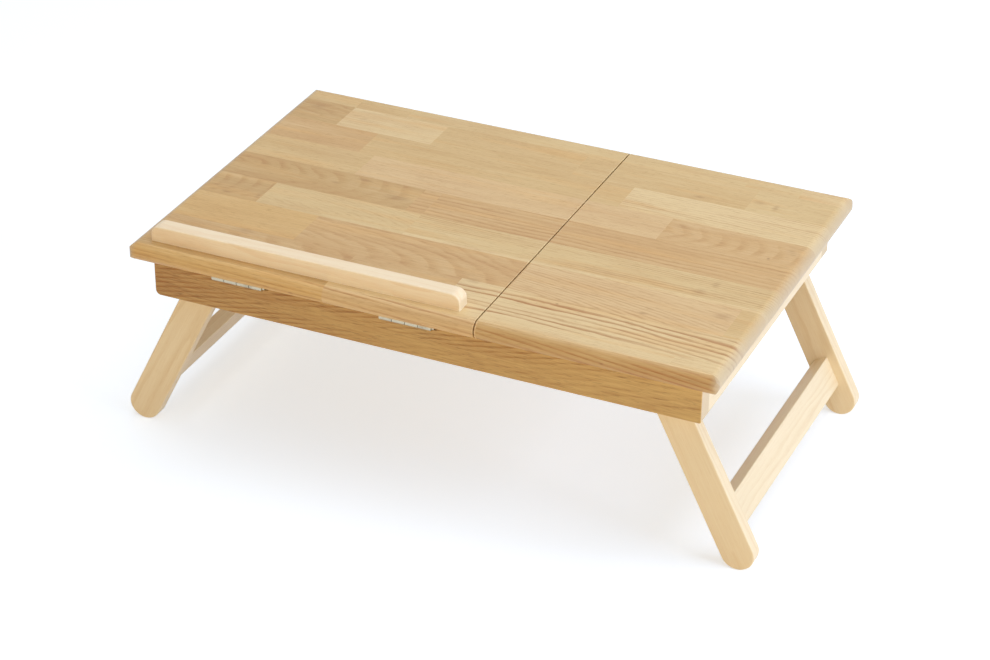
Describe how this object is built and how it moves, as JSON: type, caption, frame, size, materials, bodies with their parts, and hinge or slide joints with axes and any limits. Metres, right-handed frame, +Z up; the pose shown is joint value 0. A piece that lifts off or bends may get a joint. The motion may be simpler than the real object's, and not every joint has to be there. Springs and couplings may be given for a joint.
{
  "type": "bed tray table",
  "caption": "Low wooden lap table with a tilting reading panel, a fixed side panel, a book ledge and two folding leg frames.",
  "frame": {"origin": "middle of the length and depth, on the surface that the feet stand on", "axes": "+X along the length towards the fixed panel, +Y towards the far edge, +Z up"},
  "size_m": [0.6168, 0.36, 0.22],
  "materials": {
    "oak_top": "oiled, finger-jointed oak strips",
    "oak_rail": "oiled darker oak",
    "birch": "clear satin birch",
    "steel": "plated",
    "insert_brass": "plain"
  },
  "bodies": {
    "base_frame": {"front_rail": "oak_rail", "rear_rail": "oak_rail", "left_side_rail": "birch", "right_side_rail": "birch", "centre_cross_rail": "birch", "frame_dowels": "birch", "fixed_panel": "oak_top", "fixed_panel_screws": "steel", "left_rack": "birch", "right_rack": "birch", "rack_screws": "steel", "pivot_inserts": "insert_brass", "pivot_bolts": "steel", "pivot_washers": "steel", "left_hinge_rail_leaf": "steel", "right_hinge_rail_leaf": "steel", "left_hinge_pin": "steel", "right_hinge_pin": "steel", "hinge_rail_screws": "steel"},
    "tilting_top": {"tilting_panel": "oak_top", "book_ledge": "birch", "ledge_screws": "steel", "left_hinge_panel_leaf": "steel", "right_hinge_panel_leaf": "steel", "hinge_panel_screws": "steel", "left_prop_upper_leaf": "steel", "right_prop_upper_leaf": "steel", "left_prop_pin": "steel", "right_prop_pin": "steel", "prop_upper_screws": "steel"},
    "prop": {"left_prop_stile": "birch", "right_prop_stile": "birch", "prop_foot_rail": "birch", "left_prop_lower_leaf": "steel", "right_prop_lower_leaf": "steel", "prop_lower_screws": "steel"},
    "left_leg_frame": {"left_front_leg": "birch", "left_rear_leg": "birch", "left_stretcher": "birch", "left_stretcher_dowels": "birch"},
    "right_leg_frame": {"right_front_leg": "birch", "right_rear_leg": "birch", "right_stretcher": "birch", "right_stretcher_dowels": "birch"}
  },
  "joints": [
    {"name": "panel_tilt", "type": "hinge", "parent": "base_frame", "child": "tilting_top", "pos_m": [0, -0.168, 0.18385], "axis": [1, 0, 0], "range_deg": [0, 35]},
    {"name": "prop_swing", "type": "hinge", "parent": "tilting_top", "child": "prop", "pos_m": [0, 0, 0.18385], "axis": [-1, 0, 0], "range_deg": [0, 90]},
    {"name": "left_leg_fold", "type": "hinge", "parent": "base_frame", "child": "left_leg_frame", "pos_m": [-0.21704, 0, 0.167], "axis": [0, -1, 0], "range_deg": [0, 116.6]},
    {"name": "right_leg_fold", "type": "hinge", "parent": "base_frame", "child": "right_leg_frame", "pos_m": [0.21704, 0, 0.167], "axis": [0, 1, 0], "range_deg": [0, 116.6]}
  ]
}
